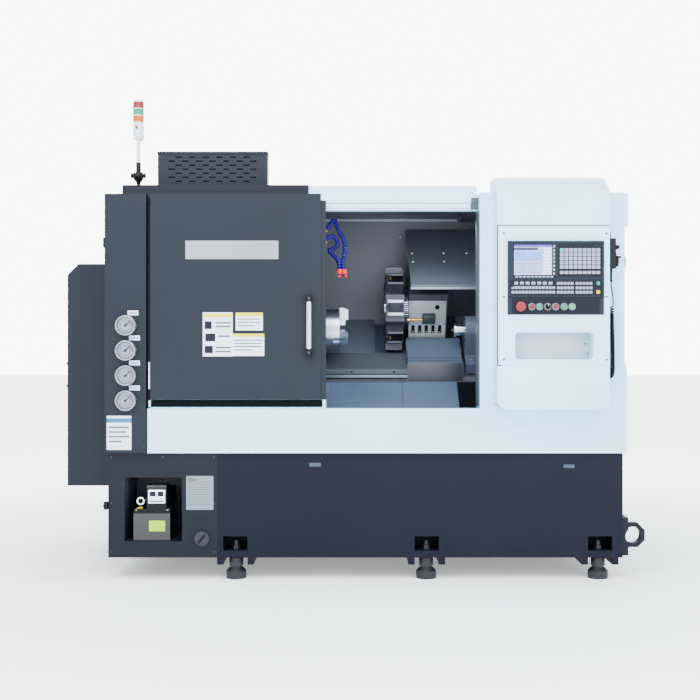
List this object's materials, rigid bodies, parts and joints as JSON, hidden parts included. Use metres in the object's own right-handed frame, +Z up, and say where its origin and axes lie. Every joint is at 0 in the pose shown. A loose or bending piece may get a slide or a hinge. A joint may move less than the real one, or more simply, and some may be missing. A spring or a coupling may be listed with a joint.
{
  "type": "cnc turning lathe",
  "caption": "Slant-bed turning lathe with a sliding door, three-jaw chuck, tool turret, tailstock, control hood, gauges and tower light.",
  "frame": {"origin": "on the floor, under the middle of the machine's overall box", "axes": "+X along the spindle towards the tailstock, +Y from the operator into the machine, +Z up"},
  "size_m": [2.6819, 1.7662, 2.21],
  "materials": {
    "dark_paint": "textured powder coat",
    "white_paint": "semi-gloss powder coat",
    "stainless": "brushed",
    "cast_bed": "painted casting",
    "cream_paint": "satin",
    "tool_steel": "ground",
    "black_steel": "black oxide",
    "lug_paint": "satin",
    "belt_rubber": "matte",
    "motor_paint": "satin",
    "panel_grey": "moulded",
    "panel_black": "moulded",
    "red_plastic": "gloss",
    "green_plastic": "gloss",
    "black_plastic": "moulded",
    "cord_rubber": "satin",
    "gauge_chrome": "polished",
    "needle_paint": "satin",
    "lamp_plastic": "translucent",
    "clear_tank": "clear moulding",
    "hose_blue": "moulded",
    "handle_metal": "satin anodised",
    "drive_steel": "turned"
  },
  "bodies": {
    "root": {"base_frame": "dark_paint", "service_housing": "dark_paint", "levelling_feet": "black_steel", "lifting_lugs": "lug_paint", "slant_bed": "cast_bed", "headstock": "cast_bed", "drive_belt": "belt_rubber", "spindle_motor": "motor_paint", "drive_enclosure": "dark_paint", "gauge_column": "dark_paint", "left_end_cover": "dark_paint", "machine_roof": "dark_paint", "door_header": "white_paint", "front_apron": "white_paint", "right_housing": "white_paint", "chamber_liner": "stainless", "control_box": "white_paint", "control_panel": "white_paint", "control_unit": "panel_grey", "button_plate": "panel_black", "mpg_case": "black_plastic", "cord_lead": "cord_rubber", "curly_cord": "cord_rubber", "cord_gland": "black_plastic", "gauge_cases": "gauge_chrome", "tower_base": "black_plastic", "lube_tank": "clear_tank", "lube_pump": "black_plastic", "coolant_hoses": "hose_blue"},
    "door": {"door_panel": "dark_paint", "door_handle": "handle_metal"},
    "spindle": {"spindle": "drive_steel", "chuck_body": "drive_steel", "chuck_cylinder": "drive_steel"},
    "jaw_1": {"chuck_jaw_1": "tool_steel"},
    "jaw_2": {"chuck_jaw_2": "tool_steel"},
    "jaw_3": {"chuck_jaw_3": "tool_steel"},
    "motor_rotor": {"motor_pulley": "drive_steel"},
    "carriage": {"saddle": "cast_bed", "way_cover": "stainless", "carriage_guard": "stainless"},
    "turret_slide": {"turret_slide": "cream_paint"},
    "turret": {"turret_disc": "tool_steel", "tool_blocks": "tool_steel"},
    "tailstock": {"tailstock_body": "cast_bed"},
    "quill": {"tailstock_quill": "drive_steel"},
    "mode_switch": {"mode_switch": "black_plastic"},
    "emergency_stop": {"emergency_stop": "red_plastic"},
    "tower_light": {"tower_light": "lamp_plastic"},
    "push_button_1": {"push_button_1": "red_plastic"},
    "gauge_needle_1": {"gauge_needle_1": "needle_paint"},
    "push_button_2": {"push_button_2": "green_plastic"},
    "gauge_needle_2": {"gauge_needle_2": "needle_paint"},
    "push_button_3": {"push_button_3": "red_plastic"},
    "gauge_needle_3": {"gauge_needle_3": "needle_paint"},
    "push_button_4": {"push_button_4": "green_plastic"},
    "gauge_needle_4": {"gauge_needle_4": "needle_paint"},
    "mpg_wheel": {"mpg_wheel": "black_plastic"},
    "mpg_step_knob": {"mpg_step_knob": "black_plastic"},
    "mpg_axis_knob": {"mpg_axis_knob": "black_plastic"}
  },
  "joints": [
    {"name": "door_slide", "type": "slide", "parent": "root", "child": "door", "axis": [1, 0, 0], "range_m": [0, 0.685]},
    {"name": "spindle_turn", "type": "hinge", "parent": "root", "child": "spindle", "pos_m": [-0.15, -0.23, 1.137], "axis": [1, 0, 0], "continuous": true},
    {"name": "motor_turn", "type": "hinge", "parent": "root", "child": "motor_rotor", "pos_m": [-0.66, 0.23, 0.8], "axis": [1, 0, 0], "continuous": true},
    {"name": "carriage_slide", "type": "slide", "parent": "root", "child": "carriage", "axis": [1, 0, 0], "range_m": [-0.17, 0.01]},
    {"name": "cross_slide", "type": "slide", "parent": "carriage", "child": "turret_slide", "axis": [0, 0.866, 0.5], "range_m": [-0.005, 0.07]},
    {"name": "turret_turn", "type": "hinge", "parent": "turret_slide", "child": "turret", "pos_m": [0.218, -0.03947, 1.247], "axis": [1, 0, 0], "continuous": true},
    {"name": "tailstock_slide", "type": "slide", "parent": "root", "child": "tailstock", "axis": [1, 0, 0], "range_m": [0, 0.25]},
    {"name": "quill_slide", "type": "slide", "parent": "tailstock", "child": "quill", "axis": [1, 0, 0], "range_m": [-0.055, 0.03]},
    {"name": "tower_fold", "type": "hinge", "parent": "root", "child": "tower_light", "pos_m": [-0.998, -0.5, 1.856], "axis": [1, 0, 0], "range_deg": [0, 90]},
    {"name": "jaw_1_slide", "type": "slide", "parent": "spindle", "child": "jaw_1", "axis": [0, 0, 1], "range_m": [-0.003, 0.003]},
    {"name": "jaw_2_slide", "type": "slide", "parent": "spindle", "child": "jaw_2", "axis": [0, -0.866, -0.5], "range_m": [-0.003, 0.003]},
    {"name": "jaw_3_slide", "type": "slide", "parent": "spindle", "child": "jaw_3", "axis": [0, 0.866, -0.5], "range_m": [-0.003, 0.003]},
    {"name": "emergency_stop_press", "type": "slide", "parent": "root", "child": "emergency_stop", "axis": [0, 1, 0], "range_m": [0, 0.005]},
    {"name": "push_button_1_press", "type": "slide", "parent": "root", "child": "push_button_1", "axis": [0, 1, 0], "range_m": [0, 0.004], "stiffness_N_per_m": 600},
    {"name": "push_button_2_press", "type": "slide", "parent": "root", "child": "push_button_2", "axis": [0, 1, 0], "range_m": [0, 0.004], "stiffness_N_per_m": 600},
    {"name": "push_button_3_press", "type": "slide", "parent": "root", "child": "push_button_3", "axis": [0, 1, 0], "range_m": [0, 0.004], "stiffness_N_per_m": 600},
    {"name": "push_button_4_press", "type": "slide", "parent": "root", "child": "push_button_4", "axis": [0, 1, 0], "range_m": [0, 0.004], "stiffness_N_per_m": 600},
    {"name": "mode_switch_turn", "type": "hinge", "parent": "root", "child": "mode_switch", "pos_m": [0.858, -0.87, 1.228], "axis": [0, 1, 0], "range_deg": [-45, 45]},
    {"name": "mpg_wheel_turn", "type": "hinge", "parent": "root", "child": "mpg_wheel", "pos_m": [1.165, -0.806, 1.431], "axis": [1, 0, 0], "continuous": true},
    {"name": "mpg_step_turn", "type": "hinge", "parent": "root", "child": "mpg_step_knob", "pos_m": [1.165, -0.826, 1.492], "axis": [1, 0, 0], "range_deg": [-60, 60]},
    {"name": "mpg_axis_turn", "type": "hinge", "parent": "root", "child": "mpg_axis_knob", "pos_m": [1.165, -0.786, 1.492], "axis": [1, 0, 0], "range_deg": [-60, 60]},
    {"name": "gauge_needle_1_turn", "type": "hinge", "parent": "root", "child": "gauge_needle_1", "pos_m": [-1.013, -0.733, 0.811], "axis": [0, 1, 0], "range_deg": [-180, 90]},
    {"name": "gauge_needle_2_turn", "type": "hinge", "parent": "root", "child": "gauge_needle_2", "pos_m": [-1.013, -0.733, 0.9237], "axis": [0, 1, 0], "range_deg": [-180, 90]},
    {"name": "gauge_needle_3_turn", "type": "hinge", "parent": "root", "child": "gauge_needle_3", "pos_m": [-1.013, -0.733, 1.0364], "axis": [0, 1, 0], "range_deg": [-180, 90]},
    {"name": "gauge_needle_4_turn", "type": "hinge", "parent": "root", "child": "gauge_needle_4", "pos_m": [-1.013, -0.733, 1.1491], "axis": [0, 1, 0], "range_deg": [-180, 90]}
  ],
  "couplings": [
    {"joint": "motor_turn", "follows": "spindle_turn", "ratio": 1.6},
    {"joint": "jaw_2_slide", "follows": "jaw_1_slide", "ratio": 1},
    {"joint": "jaw_3_slide", "follows": "jaw_1_slide", "ratio": 1}
  ]
}
